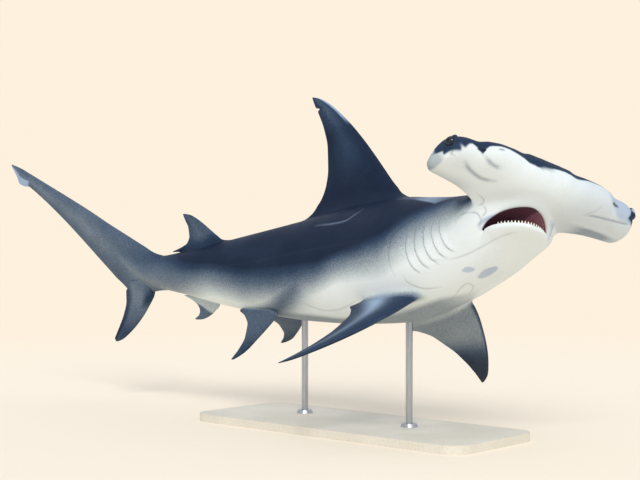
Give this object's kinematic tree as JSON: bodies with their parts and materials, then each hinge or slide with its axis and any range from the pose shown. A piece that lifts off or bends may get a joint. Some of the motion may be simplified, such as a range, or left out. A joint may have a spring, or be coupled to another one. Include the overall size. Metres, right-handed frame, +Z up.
{
  "type": "great hammerhead shark display model",
  "caption": "Life-size display model of a great hammerhead shark, head raised and turned, mouth ajar, held over a flat base by rods.",
  "frame": {"origin": "centre of the base's underside, on the floor", "axes": "+X towards the head, +Y to the animal's left, +Z up"},
  "size_m": [3.5269, 1.1443, 1.4806],
  "materials": {
    "skin": "satin",
    "eye": "gloss",
    "mouth": "satin",
    "tooth": "gloss",
    "stand_stone": "honed",
    "stand_steel": "brushed"
  },
  "bodies": {
    "root": {"head": "skin", "lower_jaw": "skin", "eye_right": "eye", "eye_left": "eye", "neck": "skin", "torso_front": "skin", "torso_middle": "skin", "torso_rear": "skin", "tail_stock": "skin", "tail_fin_upper": "skin", "tail_fin_lower": "skin", "first_dorsal_fin": "skin", "second_dorsal_fin": "skin", "anal_fin": "skin", "pectoral_fin_right": "skin", "pectoral_fin_left": "skin", "pelvic_fin_right": "skin", "pelvic_fin_left": "skin", "stand_base": "stand_stone", "stand_rod_front": "stand_steel", "stand_rod_rear": "stand_steel"}
  },
  "joints": []
}
